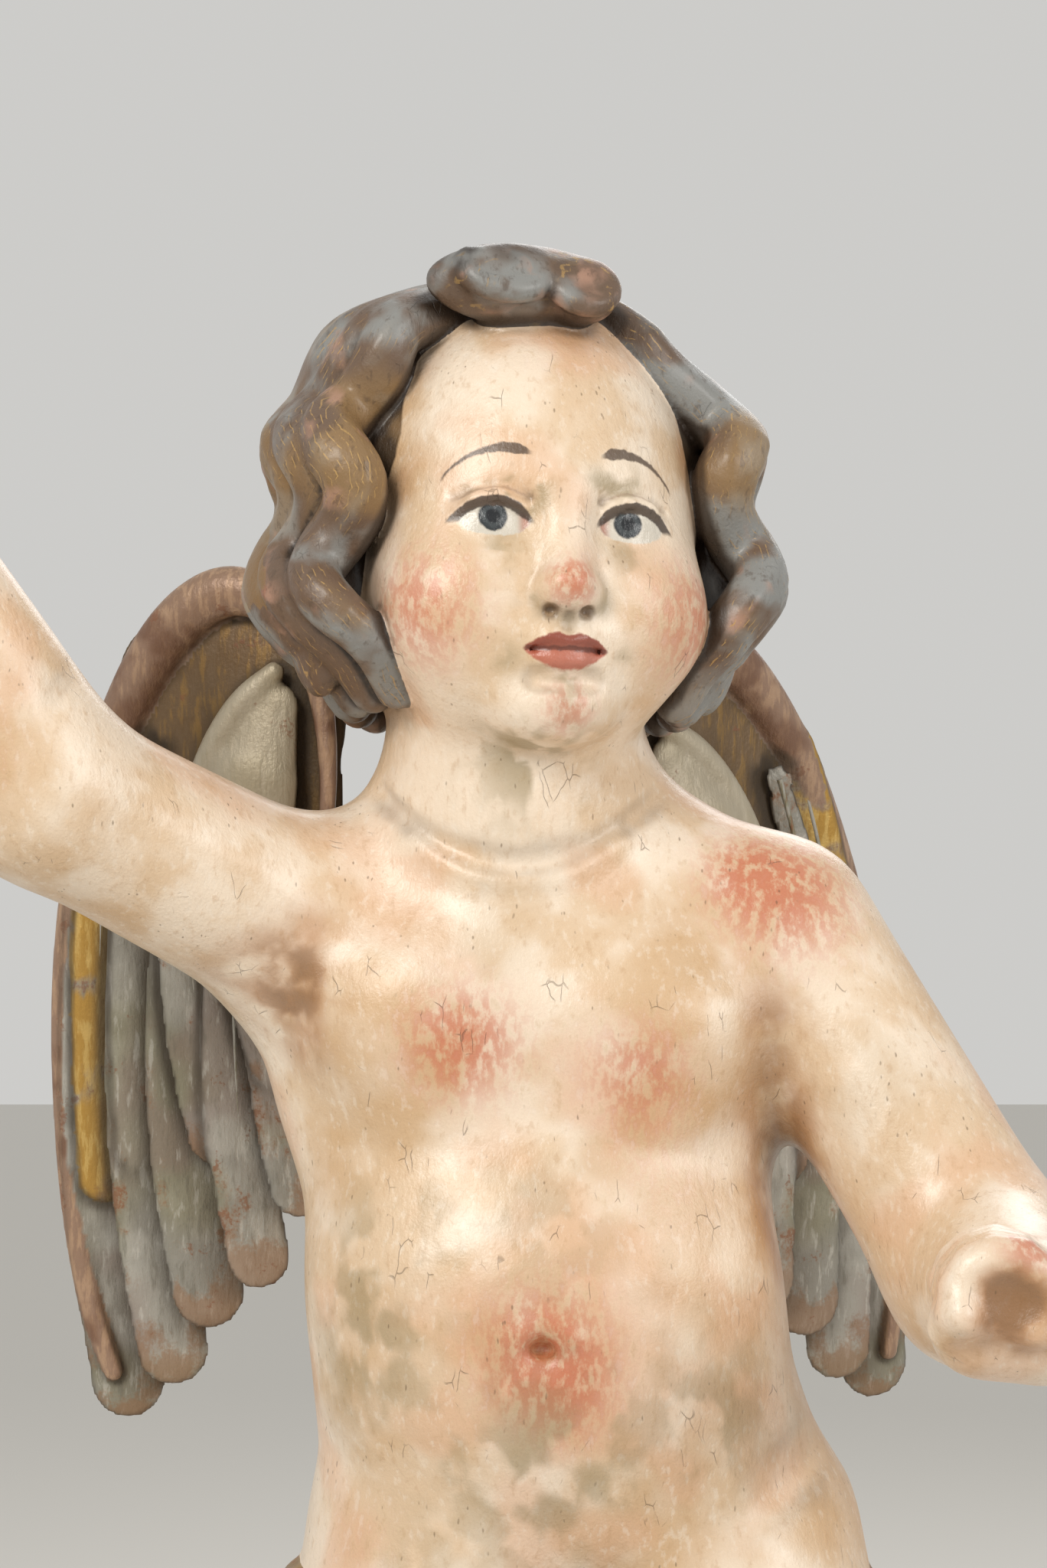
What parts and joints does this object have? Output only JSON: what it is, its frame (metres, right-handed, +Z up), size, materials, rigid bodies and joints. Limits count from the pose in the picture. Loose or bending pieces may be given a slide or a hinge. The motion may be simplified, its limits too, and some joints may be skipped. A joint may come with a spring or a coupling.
{
  "type": "carved angel statue",
  "caption": "Carved and painted wooden winged child, standing on a low turned plinth with one arm raised and the other held forward.",
  "frame": {"origin": "centre of the plinth's flat underside", "axes": "+Z up; the figure faces -Y, and +X is the figure's own left"},
  "size_m": [0.2938, 0.2196, 0.559],
  "materials": {
    "figure": "carved wood, painted in flesh tones over a ground, satin, aged",
    "wing_right": "carved wood, silvered and gilded over a red-brown ground, worn",
    "wing_left": "carved wood, silvered and gilded over a red-brown ground, worn",
    "plinth": "turned wood, dark stain, satin"
  },
  "bodies": {
    "root": {"figure": "figure", "wing_right": "wing_right", "wing_left": "wing_left", "plinth": "plinth"}
  },
  "joints": []
}
